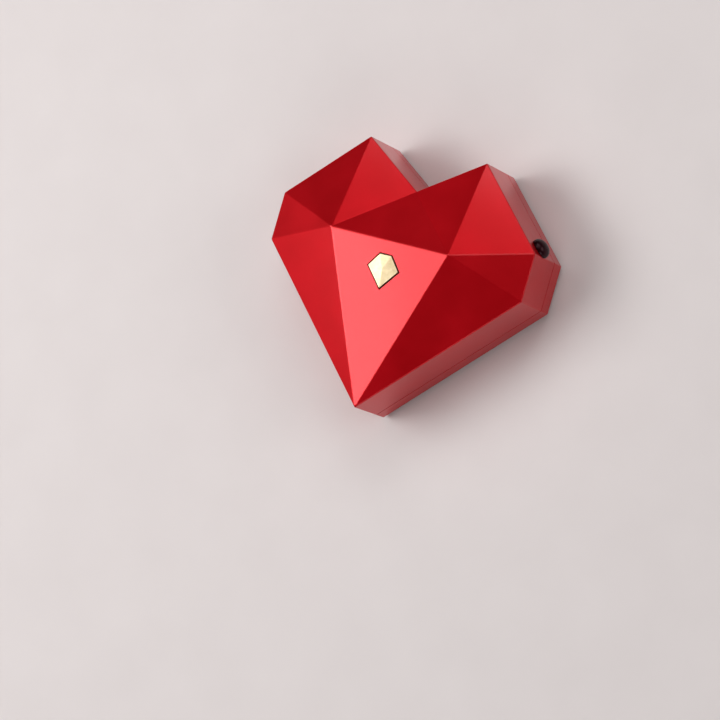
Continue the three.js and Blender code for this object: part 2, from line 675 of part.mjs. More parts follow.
// ---- Movement: barrel and winding --------------------------------------------------------------
const DRUM_INNER = BARREL_RADIUS - 0.6;
const DRUM_FLOOR_U = DRUM_U + 0.8;
const DRUM_END_U = DRUM_U + DRUM_LENGTH;
const COVER_U = DRUM_END_U + GAP;
const COVER_THICKNESS = 0.8;
const ARBOR_END = { radius: 1.2, length: 1.9 };
const PIVOT_END = 0.3; // how far a pivot reaches past its bracket
const SHOULDER = 0.2; // between a bracket's bore and the thick part of its shaft

// Cup that holds the mainspring, open towards its cover.
function barrelDrum() {
  return alongU(turned([
    [BUSH.bore, DRUM_U], [BARREL_RADIUS, DRUM_U], [BARREL_RADIUS, DRUM_END_U], [DRUM_INNER, DRUM_END_U],
    [DRUM_INNER, DRUM_FLOOR_U], [BUSH.bore, DRUM_FLOOR_U], [BUSH.bore, DRUM_U],
  ], 36));
}

function barrelCover() {
  return alongU(ring(BARREL_RADIUS, BUSH.bore, COVER_U, COVER_U + COVER_THICKNESS, 36));
}

// Flat spring coiled from the arbor out to the drum wall.
function mainspring() {
  const perCoil = 20;
  const count = 5 * perCoil;
  const thickness = 0.4;
  const inner = 2.3;
  const outer = DRUM_INNER - GAP - thickness;
  const spiral = (extra) => Array.from({ length: count + 1 }, (_, i) => {
    const radius = inner + ((outer - inner) * i) / count + extra;
    const angle = (2 * Math.PI * i) / perCoil;
    return [radius * Math.cos(angle), radius * Math.sin(angle)];
  });
  const strip = [...spiral(thickness), ...spiral(0).reverse()];
  return alongU(extrude(strip, DRUM_FLOOR_U + GAP, COVER_U - 2 * GAP));
}

function windingArbor() {
  return steppedShaft(RIGHT_BRACKET_U - PIVOT_END, [
    [PIVOT, PINION_U - SHOULDER],
    [ARBOR_RADIUS, WALL_U],
    [ARBOR_END.radius, WALL_U + ARBOR_END.length],
  ], 20);
}

// Domed crown with a blind socket for the arbor's end.
function crown() {
  const rise = CROWN_REACH - CROWN_RIM;
  const rings = 9;
  const dome = Array.from({ length: rings }, (_, i) => {
    const angle = (Math.PI / 2) * (i / rings);
    return [CROWN_RADIUS * Math.cos(angle), CROWN_RIM + rise * Math.sin(angle)];
  });
  return alongU(turned([
    [0, SOCKET.depth], [SOCKET.radius, SOCKET.depth], [SOCKET.radius, GAP], [CROWN_RADIUS - 0.2, GAP],
    ...dome, [0, CROWN_REACH],
  ], 32)).translate(WALL_U, 0, 0);
}

function arborClip() {
  const thickness = 0.6;
  const clip = alongU(ring(2.5, BUSH.bore, ARBOR_CLIP_U, ARBOR_CLIP_U + thickness, 20));
  return cut(clip, box(ARBOR_CLIP_U - MARGIN, ARBOR_CLIP_U + thickness + MARGIN, -0.6, 0.6, 0, 3));
}

// Wrapped spring that lets the arbor turn one way only; its tail bears on the bracket's foot side.
function clutchSpring() {
  const wireRadius = 0.3;
  const from = BARREL_BRACKET_U + PLATE + 0.6;
  const to = from + 3.4;
  const radius = ARBOR_RADIUS + RUN + wireRadius;
  const coil = helixPoints({ radius, from, to, turns: 5, perTurn: 10 });
  const tail = new THREE.Vector3(coil.at(-1).x, 5.5, to + 0.2);
  return alongU(wire([...coil, tail], wireRadius, 56));
}

function stemBush() {
  const inside = WALL_U - WALL - GAP;
  const end = WALL_U - 0.1;
  const start = inside - BUSH.flangeThickness;
  return alongU(turned([
    [BUSH.bore, start], [BUSH.flange, start], [BUSH.flange, inside], [BUSH.sleeve, inside],
    [BUSH.sleeve, end], [BUSH.bore, end], [BUSH.bore, start],
  ], 28));
}

// ---- Movement: cylinder and governor -----------------------------------------------------------
const CYLINDER_BORE = PIVOT + PIVOT_END;
const TUNE_STEPS = 44;

// Two voices of a rocking arpeggio, pinned round the cylinder one step at a time.
function pinPlaces() {
  return Array.from({ length: TUNE_STEPS }, (_, step) => {
    const bass = (step * 5 + Math.floor(step / 8) * 3) % 9;
    const treble = 9 + ((step * 7 + Math.floor(step / 4)) % 9);
    return [[bass, step], [treble, step + 0.5]];
  }).flat().map(([note, step]) => [note, (2 * Math.PI * step) / TUNE_STEPS]);
}

function cylinderPin(note, angle) {
  const half = 0.18;
  const root = CYLINDER_RADIUS - 0.3;
  return box(root, CYLINDER_RADIUS + PIN_HEIGHT, -half, half, noteU(note) - half, noteU(note) + half)
    .rotateZ(angle);
}

function musicCylinder() {
  const body = ring(CYLINDER_RADIUS, CYLINDER_BORE + RUN, CYLINDER_U - CYLINDER_HALF,
    CYLINDER_U + CYLINDER_HALF, 36);
  return alongU(join(body, ...pinPlaces().map(([note, angle]) => cylinderPin(note, angle))));
}

function cylinderArbor() {
  return steppedShaft(LEFT_BRACKET_U - PIVOT_END, [
    [PIVOT, LEFT_BRACKET_U + PLATE + 0.4],
    [CYLINDER_BORE, RIGHT_BRACKET_U - PIVOT_END],
    [PIVOT, PINION_U + 1.8],
  ], 16);
}

function cylinderPinion() {
  return gear({
    teeth: TEETH.cylinderPinion,
    from: PINION_U,
    width: 1.6,
    bore: PIVOT + RUN,
    phase: TOWARDS_RIGHT + Math.PI / TEETH.cylinderPinion,
  });
}

function greatWheel() {
  return gear({
    teeth: TEETH.greatWheel,
    from: PINION_U + 0.1,
    width: 1.4,
    bore: BUSH.bore,
    phase: TOWARDS_LEFT,
    holes: { count: 5, radius: 1.8, at: 5.6 },
  });
}

function cylinderWheel() {
  return gear({
    teeth: TEETH.cylinderWheel,
    from: WHEEL_U,
    width: 1,
    bore: CYLINDER_BORE + RUN,
    phase: TOWARDS_RIGHT,
    holes: { count: 5, radius: 1.2, at: 3.9 },
  });
}

function governorPinion() {
  return gear({
    teeth: TEETH.governorPinion,
    from: WHEEL_U - 0.2,
    width: 1.4,
    bore: SMALL_PIVOT + RUN,
    phase: TOWARDS_LEFT + Math.PI / TEETH.governorPinion,
  });
}

function wormWheel() {
  const width = 0.9;
  return gear({
    teeth: TEETH.wormWheel,
    from: WORM.u - width / 2,
    width,
    bore: SMALL_PIVOT + RUN,
    phase: TOWARDS_RIGHT,
  });
}

function governorArbor() {
  return alongU(rod(SMALL_PIVOT, LEFT_BRACKET_U - SHOULDER, GOVERNOR_COCK_U + PLATE, 14));
}

// One-start worm: its cross-section is the same all along, and turns once for each thread.
function wormThread() {
  const lead = Math.PI * MODULE;
  const slope = Math.tan(PRESSURE);
  const half = (lead / 2 - BACKLASH) / 2;
  const tipHalf = half - (WORM.tip - WORM.pitchRadius) * slope;
  const rootHalf = half + (WORM.pitchRadius - WORM.root) * slope;
  const sides = 20;
  const outline = Array.from({ length: sides }, (_, i) => {
    const angle = -Math.PI + (2 * Math.PI * i) / sides;
    const distance = (Math.abs(angle) * lead) / (2 * Math.PI);
    const rise = THREE.MathUtils.clamp((rootHalf - distance) / (rootHalf - tipHalf), 0, 1);
    const radius = WORM.root + (WORM.tip - WORM.root) * rise;
    return [radius * Math.cos(angle - Math.PI / 2), radius * Math.sin(angle - Math.PI / 2)];
  });
  const shape = new THREE.Shape(outline.map(([x, y]) => new THREE.Vector2(x, y)));
  const thread = new THREE.ExtrudeGeometry(shape, { depth: WORM.length, steps: 36, bevelEnabled: false })
    .translate(0, 0, -WORM.length / 2);
  const position = thread.attributes.position;
  const point = new THREE.Vector3();
  const axis = new THREE.Vector3(0, 0, 1);
  for (let i = 0; i < position.count; i += 1) {
    point.fromBufferAttribute(position, i);
    point.applyAxisAngle(axis, (2 * Math.PI * point.z) / lead);
    position.setXYZ(i, point.x, point.y, point.z);
  }
  return thread;
}

// Heights below are counted from the shaft height, where the worm meets its wheel.
function wormShaft() {
  const spindle = rod(SMALL_PIVOT, BED_TOP - 1.3 - SHAFT_Z, SPINDLE_TOP - SHAFT_Z, 14);
  return join(wormThread(), spindle);
}

const FAN = { low: 9.2, high: 12.6, hub: 1.4, reach: 4, half: 0.2 };

function airFan() {
  const [low, high] = [FAN.low - SHAFT_Z, FAN.high - SHAFT_Z];
  const hub = ring(FAN.hub, SMALL_PIVOT + RUN, low, high, 16);
  const blade = box(FAN.hub - 0.3, FAN.reach, -FAN.half, FAN.half, low, high);
  return join(hub, blade, blade.clone().rotateZ(Math.PI));
}

function brakeDisc() {
  return ring(2.2, SMALL_PIVOT + RUN, BRIDGE.top + GAP - SHAFT_Z, SPINDLE_TOP - SHAFT_Z, 20);
}

// ---- Assembly ----------------------------------------------------------------------------------
const musicBox = new THREE.Group();
musicBox.name = 'wind_up_music_box';

function place(parent, name, geometry, look, position = [0, 0, 0]) {
  geometry.computeVertexNormals();
  const mesh = new THREE.Mesh(geometry, MATERIALS[look]);
  mesh.name = name;
  mesh.position.set(...position);
  parent.add(mesh);
}

function placeScrews(parent, name, kind, places, height, turn = 0) {
  places.forEach(([x, y], i) => {
    place(parent, `${name}_${i + 1}`, screw(kind).rotateX(turn), 'steel', [x, y, height]);
  });
}

place(musicBox, 'front_shell', frontShell(), 'red_paint');
place(musicBox, 'back_shell', backShell(), 'red_paint');
placeScrews(musicBox, 'case_screw', CASE_SCREW, CASE_SCREWS, CASE_SCREW_SEAT, Math.PI);
for (const [name, [x, y]] of Object.entries(FEET)) {
  place(musicBox, name, foot(), 'rubber', [x, y, 0]);
}

const facet = new THREE.Group();
facet.applyMatrix4(FACET_FRAME);
musicBox.add(facet);
place(facet, 'gem_button', gemButton(), 'gold');
place(facet, 'gem_plunger', gemPlunger(), 'steel');
place(facet, 'plunger_clip', plungerClip(), 'spring_steel');
place(facet, 'stop_lever', stopLever(), 'steel');
place(facet, 'lever_pin', pinAlongX(PIN_RADIUS, LUGS[0][0] - 0.4, LUGS[1][1] + 0.4), 'steel');
place(facet, 'lever_spring', leverSpring(), 'spring_steel');

const movement = new THREE.Group();
movement.rotation.z = DIAGONAL;
musicBox.add(movement);
place(movement, 'bedplate', bedplate(), 'zinc');
place(movement, 'left_bracket', leftBracket(), 'brass');
place(movement, 'right_bracket', rightBracket(), 'brass');
place(movement, 'barrel_bracket', barrelBracket(), 'brass');
place(movement, 'governor_cock', governorCock(), 'brass');
place(movement, 'worm_bridge', wormBridge(), 'brass');
const FRAME_SCREW_SEAT = FRAME_BASE + FOOT_HEIGHT + GAP;
placeScrews(movement, 'frame_screw', FRAME_SCREW, Object.values(FRAME_SCREWS), FRAME_SCREW_SEAT);
placeScrews(movement, 'bed_screw', BED_SCREW, BED_SCREWS, BED_TOP + GAP);
place(movement, 'comb', comb(), 'steel');
place(movement, 'comb_base', combBase(), 'zinc');
placeScrews(movement, 'comb_screw', COMB_SCREW, COMB_SCREWS, COMB_TOP + GAP);

const BARREL_AXIS = [0, BARREL_V, SHAFT_Z];
place(movement, 'great_wheel', greatWheel(), 'brass', BARREL_AXIS);
place(movement, 'barrel_drum', barrelDrum(), 'brass', BARREL_AXIS);
place(movement, 'barrel_cover', barrelCover(), 'brass', BARREL_AXIS);
place(movement, 'mainspring', mainspring(), 'spring_steel', BARREL_AXIS);
place(movement, 'winding_arbor', windingArbor(), 'steel', BARREL_AXIS);
place(movement, 'winding_crown', crown(), 'black_gloss', BARREL_AXIS);
place(movement, 'arbor_clip', arborClip(), 'spring_steel', BARREL_AXIS);
place(movement, 'clutch_spring', clutchSpring(), 'spring_steel', BARREL_AXIS);
place(movement, 'stem_bush', stemBush(), 'nylon', BARREL_AXIS);

const CYLINDER_AXIS = [0, CYLINDER_V, SHAFT_Z];
place(movement, 'music_cylinder', musicCylinder(), 'brass', CYLINDER_AXIS);
place(movement, 'cylinder_arbor', cylinderArbor(), 'steel', CYLINDER_AXIS);
place(movement, 'cylinder_pinion', cylinderPinion(), 'steel', CYLINDER_AXIS);
place(movement, 'cylinder_wheel', cylinderWheel(), 'brass', CYLINDER_AXIS);

const GOVERNOR_AXIS = [0, GOVERNOR_V, SHAFT_Z];
place(movement, 'governor_arbor', governorArbor(), 'steel', GOVERNOR_AXIS);
place(movement, 'governor_pinion', governorPinion(), 'steel', GOVERNOR_AXIS);
place(movement, 'worm_wheel', wormWheel(), 'nylon', GOVERNOR_AXIS);

const WORM_AXIS = [WORM.u, WORM_V, SHAFT_Z];
place(movement, 'worm_shaft', wormShaft(), 'steel', WORM_AXIS);
place(movement, 'air_fan', airFan(), 'brass', WORM_AXIS);
place(movement, 'brake_disc', brakeDisc(), 'nylon', WORM_AXIS);

export default musicBox;
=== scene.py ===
import json
import math

import bmesh
import bpy
from mathutils import Matrix, Vector
from mathutils.geometry import convex_hull_2d


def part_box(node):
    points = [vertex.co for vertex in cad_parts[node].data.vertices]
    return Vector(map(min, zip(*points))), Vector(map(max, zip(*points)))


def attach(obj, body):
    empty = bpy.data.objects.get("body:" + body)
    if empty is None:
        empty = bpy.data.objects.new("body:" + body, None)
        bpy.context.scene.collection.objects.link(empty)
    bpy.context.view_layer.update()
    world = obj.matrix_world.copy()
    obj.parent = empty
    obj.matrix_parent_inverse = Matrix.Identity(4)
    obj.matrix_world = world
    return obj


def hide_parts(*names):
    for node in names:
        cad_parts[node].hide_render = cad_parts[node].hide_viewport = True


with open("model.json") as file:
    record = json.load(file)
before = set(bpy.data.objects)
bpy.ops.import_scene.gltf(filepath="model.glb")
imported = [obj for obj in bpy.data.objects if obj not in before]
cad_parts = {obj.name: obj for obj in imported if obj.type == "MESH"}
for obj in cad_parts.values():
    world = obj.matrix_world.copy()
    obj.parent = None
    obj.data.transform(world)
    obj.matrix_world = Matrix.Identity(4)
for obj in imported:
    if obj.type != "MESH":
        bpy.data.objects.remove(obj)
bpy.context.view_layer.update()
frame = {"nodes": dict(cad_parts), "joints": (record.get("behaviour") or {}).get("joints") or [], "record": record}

NODES = frame["nodes"]
RECORD = frame["record"]
MM = 0.001
MM2 = MM ** 2

NODE_SLOTS = {part["node"]: part["material_slot"] for part in RECORD["subparts"]}
NODE_BODIES = {node: body for body, nodes in RECORD["behaviour"]["bodies"].items() for node in nodes}
JOINTS = {joint["name"]: joint for joint in frame["joints"]}


# ---- Shader helper ----------------------------------------------------------------------------------

NOISE_MIDDLE = (0.3, 0.7)  # the part of a noise pattern's range that most of it lies in


class Shader:
    """A node material round one Principled shader, with short calls for the usual links."""

    def __init__(self, name, **sockets):
        self.material = bpy.data.materials.new(name)
        self.material.use_nodes = True
        self.tree = self.material.node_tree
        self.principled = self.tree.nodes["Principled BSDF"]
        for socket, value in sockets.items():
            label = socket.replace("_", " ").title().replace("Ior", "IOR")
            self.principled.inputs[label].default_value = value
        self.place = self.node("TexCoord").outputs["Object"]

    def node(self, kind, **settings):
        made = self.tree.nodes.new("ShaderNode" + kind)
        for key, value in settings.items():
            setattr(made, key, value)
        return made

    def link(self, source, target):
        self.tree.links.new(source, target)

    def noise(self, grain, detail=2.0, turn=0.0, stretch=(1, 1, 1)):
        """Noise with a grain of so many metres, longer along an axis whose stretch is above 1."""
        mapping = self.node("Mapping")
        mapping.inputs["Rotation"].default_value = (0, 0, turn)
        mapping.inputs["Scale"].default_value = [1 / length for length in stretch]
        texture = self.node("TexNoise")
        texture.inputs["Scale"].default_value = 1 / grain
        texture.inputs["Detail"].default_value = detail
        self.link(self.place, mapping.inputs["Vector"])
        self.link(mapping.outputs["Vector"], texture.inputs["Vector"])
        return texture.outputs["Fac"]

    def spread(self, pattern, low, high):
        """Maps the middle of a noise pattern onto a range of numbers."""
        span = self.node("MapRange")
        span.inputs["From Min"].default_value = NOISE_MIDDLE[0]
        span.inputs["From Max"].default_value = NOISE_MIDDLE[1]
        span.inputs["To Min"].default_value = low
        span.inputs["To Max"].default_value = high
        self.link(pattern, span.inputs["Value"])
        return span.outputs["Result"]

    def colours(self, pattern, low, high):
        """Blends two colours over a noise pattern, as the base colour."""
        ramp = self.node("ValToRGB")
        for element, position, colour in zip(ramp.color_ramp.elements, NOISE_MIDDLE, (low, high)):
            element.position = position
            element.color = (*colour, 1)
        self.link(pattern, ramp.inputs["Fac"])
        self.link(ramp.outputs["Color"], self.principled.inputs["Base Color"])

    def roughness(self, pattern, low, high):
        self.link(self.spread(pattern, low, high), self.principled.inputs["Roughness"])

    def relief(self, *layers, socket="Normal"):
        """Stacks layers of bump: (pattern, height in metres, strength)."""
        normal = None
        for pattern, height, strength in layers:
            bump = self.node("Bump")
            bump.inputs["Strength"].default_value = strength
            bump.inputs["Distance"].default_value = height
            self.link(pattern, bump.inputs["Height"])
            if normal:
                self.link(normal, bump.inputs["Normal"])
            normal = bump.outputs["Normal"]
        self.link(normal, self.principled.inputs[socket])


# ---- Materials --------------------------------------------------------------------------------------


def red_lacquer():
    """Candy-red lacquer: fine metal flake that glows red, under a glossy clear coat."""
    paint = Shader(
        "red_lacquer", metallic=0.5, specular_ior_level=0.2,
        coat_weight=0.45, coat_roughness=0.1, coat_ior=1.5,
    )
    cloud = paint.noise(17 * MM, detail=3)
    peel = paint.noise(0.9 * MM)
    flake = paint.noise(0.12 * MM)
    paint.colours(cloud, (0.55, 0.0005, 0.005), (0.62, 0.0008, 0.007))
    paint.roughness(cloud, 0.3, 0.36)
    paint.relief((flake, 0.002 * MM, 0.3))
    paint.relief((peel, 0.003 * MM, 0.4), socket="Coat Normal")
    return paint.material


def champagne_gold():
    """Pale gold plate, brushed by hand, so its face is never quite flat."""
    gold = Shader("champagne_gold", metallic=1.0)
    haze = gold.noise(1.6 * MM, detail=3)
    waves = gold.noise(3.2 * MM)
    brushing = gold.noise(0.12 * MM, turn=0.5, stretch=(1, 14, 1))
    gold.colours(haze, (0.53, 0.42, 0.24), (0.64, 0.52, 0.33))
    gold.roughness(brushing, 0.34, 0.46)
    gold.relief((waves, 0.05 * MM, 0.5), (brushing, 0.002 * MM, 0.4))
    return gold.material


def black_gloss():
    """Black enamel of the winding crown, with the faint smears of a handled knob."""
    gloss = Shader(
        "black_enamel", metallic=0.5, specular_ior_level=0.2, coat_weight=0.08, coat_roughness=0.12
    )
    smear = gloss.noise(2.4 * MM, detail=3)
    # Painted reflection: the faint red in these near-black colours, on a half-metallic shader, tints every
    # highlight on the crown crimson, standing in for its reflection of the red case around it. The spread between
    # the two colours is the handling smears.
    gloss.colours(smear, (0.016, 0.001, 0.003), (0.03, 0.002, 0.006))
    gloss.roughness(smear, 0.24, 0.36)
    gloss.relief((gloss.noise(0.5 * MM), 0.002 * MM, 0.3))
    return gloss.material


def metal(name, low, high, rough, grain, **direction):
    """Machined metal: brushing marks in one direction over slow tarnish."""
    shader = Shader(name, metallic=1.0)
    tarnish = shader.noise(4.5 * MM, detail=4)
    brushing = shader.noise(grain, **direction)
    shader.colours(tarnish, low, high)
    shader.roughness(brushing, *rough)
    shader.relief((brushing, 0.002 * MM, 0.3))
    return shader.material


def rubber():
    """Matt black rubber with a fine grain and a little dust."""
    pad = Shader("matt_rubber", specular_ior_level=0.3)
    speck = pad.noise(0.35 * MM, detail=3)
    dust = pad.noise(5 * MM, detail=3)
    pad.colours(dust, (0.012, 0.012, 0.012), (0.032, 0.03, 0.029))
    pad.roughness(speck, 0.7, 0.9)
    pad.relief((speck, 0.02 * MM, 0.5))
    return pad.material


def nylon():
    """Natural nylon: milky, satin, with faint flow marks."""
    plastic = Shader("natural_nylon", subsurface_weight=0.15, subsurface_scale=0.4 * MM)
    flow = plastic.noise(1.2 * MM, detail=3, stretch=(1, 3, 1))
    plastic.colours(flow, (0.72, 0.69, 0.6), (0.82, 0.8, 0.72))
    plastic.roughness(flow, 0.42, 0.55)
    plastic.relief((plastic.noise(0.6 * MM), 0.006 * MM, 0.4))
    return plastic.material


# The movement's shafts lie at 45 degrees in plan.
DIAGONAL = math.pi / 4
ALONG_SHAFTS = {"turn": -DIAGONAL, "stretch": (12, 1, 1)}
ACROSS_SHAFTS = {"turn": -DIAGONAL, "stretch": (1, 12, 1)}
MATERIALS = {
    "red_paint": red_lacquer(),
    "gold": champagne_gold(),
    "black_gloss": black_gloss(),
    "brass": metal(
        "machined_brass", (0.62, 0.42, 0.15), (0.78, 0.56, 0.24), (0.22, 0.38), 0.3 * MM, **ACROSS_SHAFTS
    ),
    "steel": metal(
        "turned_steel", (0.46, 0.47, 0.48), (0.62, 0.63, 0.65), (0.18, 0.34), 0.25 * MM, **ALONG_SHAFTS
    ),
    "spring_steel": metal(
        "blued_spring_steel", (0.16, 0.19, 0.26), (0.3, 0.33, 0.4), (0.22, 0.36), 0.3 * MM, **ACROSS_SHAFTS
    ),
    "zinc": metal("cast_zinc", (0.38, 0.38, 0.39), (0.5, 0.5, 0.51), (0.42, 0.6), 0.4 * MM),
    "rubber": rubber(),
    "nylon": nylon(),
}


def dress(piece, slot):
    """Gives a piece the material of its slot, in place of any other."""
    piece.data.materials.clear()
    piece.data.materials.append(MATERIALS[slot])


# ---- Mesh helpers -----------------------------------------------------------------------------------

# Angles that are compared with turn_angle are in degrees, and the others in radians.
WELD = 0.002 * MM
SAME_PLANE = math.radians(0.5)
HARD_ANGLE = 30
FOLD_ANGLE = 8
FOLD_LENGTH = 8 * MM
BLEND_ANGLE = math.radians(50)
CARVING_SCALE = 1000
SLIVER = 0.0005 * MM
ON_AXIS = 0.0001 * MM
ROUNDS_PER_SIDE = 2.1  # above 2, so that the rounds at both ends of a side never meet


def stand_for(node, solid):
    """Turns a bmesh into the piece that stands for a CAD node and rides on that node's body."""
    mesh = bpy.data.meshes.new(node + "_finished")
    bmesh.ops.recalc_face_normals(solid, faces=solid.faces)
    for face in solid.faces:
        face.smooth = True
    solid.to_mesh(mesh)
    solid.free()
    piece = bpy.data.objects.new(mesh.name, mesh)
    bpy.context.collection.objects.link(piece)
    dress(piece, NODE_SLOTS[node])
    weighted = piece.modifiers.new("flat_faces_stay_flat", "WEIGHTED_NORMAL")
    weighted.weight = 100
    weighted.keep_sharp = True
    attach(piece, NODE_BODIES[node])
    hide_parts(node)
    return piece


def clean_copy(node):
    """The node's own solid, welded, with its flat faces whole again."""
    solid = bmesh.new()
    solid.from_mesh(NODES[node].data)
    bmesh.ops.remove_doubles(solid, verts=solid.verts, dist=WELD)
    bmesh.ops.dissolve_limit(solid, angle_limit=SAME_PLANE, verts=solid.verts, edges=solid.edges)
    return solid


def turn_angle(edge):
    """Degrees between the faces on both sides of an edge."""
    return math.degrees(edge.calc_face_angle(0.0))


def is_crease(edge):
    """A hard edge, or a long fold between two facets that only tilt a little."""
    is_fold = turn_angle(edge) > FOLD_ANGLE and edge.calc_length() > FOLD_LENGTH
    return turn_angle(edge) > HARD_ANGLE or is_fold


def rounded(node, *rounds):
    """Rounds chosen convex edges of a node: each round is (chooser, width, segments)."""
    solid = clean_copy(node)
    for edge in solid.edges:
        edge.smooth = not is_crease(edge)
    for chooser, width, segments in rounds:
        convex = [edge for edge in solid.edges if len(edge.link_faces) == 2 and edge.is_convex]
        edges = [edge for edge in convex if chooser(edge)]
        for edge in edges:
            edge.smooth = True
        bmesh.ops.bevel(
            solid,
            geom=edges,
            offset=width,
            segments=segments,
            profile=0.5,
            affect="EDGES",
            clamp_overlap=True,
        )
    return stand_for(node, solid)


def softened(profile, radius, steps=5):
    """Rounds the inner corners of a profile of (radius, height) points."""
    points = [Vector(point) for point in profile]
    soft = [points[0]]
    for before, corner, after in zip(points, points[1:], points[2:]):
        shorter_side = min((before - corner).length, (after - corner).length)
        reach = min(radius, shorter_side / ROUNDS_PER_SIDE)
        start = corner + (before - corner).normalized() * reach
        end = corner + (after - corner).normalized() * reach
        for step in range(steps + 1):
            t = step / steps
            soft.append(start * (1 - t) ** 2 + corner * 2 * t * (1 - t) + end * t ** 2)
    return soft + [points[-1]]


def turned(profile, segments, place):
    """Closed solid turned from a profile that starts and ends on the axis."""
    solid = bmesh.new()
    rings = []
    for radius, height in profile:
        if radius < ON_AXIS:
            rings.append([solid.verts.new(place @ Vector((0, 0, height)))])
            continue
        angles = [2 * math.pi * i / segments for i in range(segments)]
        circle = [Vector((radius * math.cos(angle), radius * math.sin(angle), height)) for angle in angles]
        rings.append([solid.verts.new(place @ point) for point in circle])
    for lower, upper in zip(rings, rings[1:]):
        for i in range(segments):
            corners = [
                lower[i % len(lower)], lower[(i + 1) % len(lower)],
                upper[(i + 1) % len(upper)], upper[i % len(upper)],
            ]
            solid.faces.new(list(dict.fromkeys(corners)))
    return solid


def carve(solid, tool):
    """Cuts one closed bmesh out of another.

    Both are enlarged meanwhile, because at their true scale the solver leaves slivers and open edges.
    """
    objects = []
    for part in (solid, tool):
        bmesh.ops.recalc_face_normals(part, faces=part.faces)
        bmesh.ops.scale(part, vec=(CARVING_SCALE,) * 3, verts=part.verts)
        mesh = bpy.data.meshes.new("carving")
        part.to_mesh(mesh)
        part.free()
        objects.append(bpy.data.objects.new("carving", mesh))
        bpy.context.collection.objects.link(objects[-1])
    body, cutter = objects
    boolean = body.modifiers.new("carve", "BOOLEAN")
    boolean.operation = "DIFFERENCE"
    boolean.solver = "EXACT"
    boolean.object = cutter
    bpy.context.view_layer.update()
    result = bmesh.new()
    result.from_object(body, bpy.context.evaluated_depsgraph_get())
    bmesh.ops.scale(result, vec=(1 / CARVING_SCALE,) * 3, verts=result.verts)
    bmesh.ops.remove_doubles(result, verts=result.verts, dist=SLIVER)
    for part in objects:
        bpy.data.meshes.remove(part.data)  # which removes its object too
    return result


def keep_facets_flat(mesh, smallest):
    """Large faces keep their own normal at every corner, and the narrow rounds between them blend."""
    around = {}
    for face in mesh.polygons:
        for vertex in face.vertices:
            around.setdefault(vertex, []).append(face)

    def corner_normal(face, vertex):
        if face.area > smallest:
            return face.normal
        near = [other for other in around[vertex] if other.normal.angle(face.normal) < BLEND_ANGLE]
        large = [other for other in near if other.area > smallest]
        return sum((other.normal * other.area for other in large or near), Vector()).normalized()

    mesh.normals_split_custom_set(
        [corner_normal(face, vertex) for face in mesh.polygons for vertex in face.vertices]
    )


# ---- Case -------------------------------------------------------------------------------------------

EDGE_ROUND = 0.35 * MM
RIM_ROUND = 0.1 * MM
GEM_ROUND = 0.1 * MM
SEAM_GAP = 0.3 * MM
CORNER_ANGLE = math.radians(5)  # the least turn that makes a corner of the outline
RIM_ANGLE = 60
GEM_FOLD_ANGLE = 4
SMALLEST_FACET = 40 * MM2
BIG_FACET = 400 * MM2
BACK_FACE = 1000 * MM2
FACING_UP = 0.95  # least z of a facet's normal
FACING_DOWN = -0.99
AT_CORNER = 0.05 * MM
LEVEL = 0.01 * MM


def outline_corners(node):
    """The heart's corners in plan: its convex corners, and the notch between the lobes."""
    vertices = NODES[node].data.vertices
    points = sorted({(round(vertex.co.x, 6), round(vertex.co.y, 6)) for vertex in vertices})
    hull = [Vector(points[i]) for i in convex_hull_2d(points)]
    nexts = hull[1:] + hull[:1]
    corners = [
        point for before, point, after in zip([hull[-1], *hull], hull, nexts)
        if (point - before).angle(after - point) > CORNER_ANGLE
    ]
    notch = max((point for point in points if abs(point[0]) < LEVEL), key=lambda point: point[1])
    return corners + [Vector(notch)]


def on_outline(node):
    """Chooses the outer edges: those between the outline's corners or the two front apexes."""
    corners = outline_corners(node)
    apex_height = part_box("front_shell")[1][2] - LEVEL

    def outer(vertex):
        at_corner = any((vertex.co.xy - corner).length < AT_CORNER for corner in corners)
        return at_corner or vertex.co.z > apex_height

    return lambda edge: turn_angle(edge) > FOLD_ANGLE and all(outer(vertex) for vertex in edge.verts)


def level_with(height):
    """Chooses the edges that lie at one height."""
    return lambda edge: all(abs(vertex.co.z - height) < LEVEL for vertex in edge.verts)


def rim_of(is_face):
    """Chooses the mouth edges of recesses and holes in the faces that pass a test."""
    return lambda edge: turn_angle(edge) > RIM_ANGLE and any(is_face(face) for face in edge.link_faces)


def is_big_facet(face):
    """The front facet that holds the gem."""
    return face.normal.z > FACING_UP and face.calc_area() > BIG_FACET


def is_back(face):
    """The flat back, with its screw, slot and foot recesses."""
    return face.normal.z < FACING_DOWN and face.calc_area() > BACK_FACE


def case_shells():
    """Both shells: soft lacquered outer edges, but a crisp seam where they meet."""
    seam_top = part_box("front_shell")[0][2]
    for node, seam, is_face in (
        ("front_shell", seam_top, is_big_facet),
        ("back_shell", seam_top - SEAM_GAP, is_back),
    ):
        outline = on_outline(node)
        at_seam = level_with(seam)
        shell = rounded(
            node,
            (lambda edge: outline(edge) and not at_seam(edge), EDGE_ROUND, 3),
            (lambda edge: at_seam(edge) and turn_angle(edge) > RIM_ANGLE, RIM_ROUND, 1),
            (rim_of(is_face), RIM_ROUND, 2),
        )
        shell.modifiers.clear()
        keep_facets_flat(shell.data, SMALLEST_FACET)


def gem_button():
    """The cut gem, with every fold between its faces a little worn."""
    rounded("gem_button", (lambda edge: turn_angle(edge) > GEM_FOLD_ANGLE, GEM_ROUND, 2))


# ---- Turned pieces ----------------------------------------------------------------------------------

FOOT_SIDES = 72
FOOT_ROUND = 0.55 * MM
GROOVE_PLACE = 0.62  # share of the foot's radius
GROOVE_WIDTH = 0.35 * MM
GROOVE_DEPTH = 0.3 * MM
CROWN_SIDES = 96
CROWN_RIM = 0.5 * MM
CROWN_ROUND = 0.3 * MM
SOCKET_RADIUS = 1.4 * MM
SOCKET_DEPTH = 1.9 * MM


def middle(node):
    """The centre of a node's box."""
    low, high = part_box(node)
    return (Vector(low) + Vector(high)) / 2


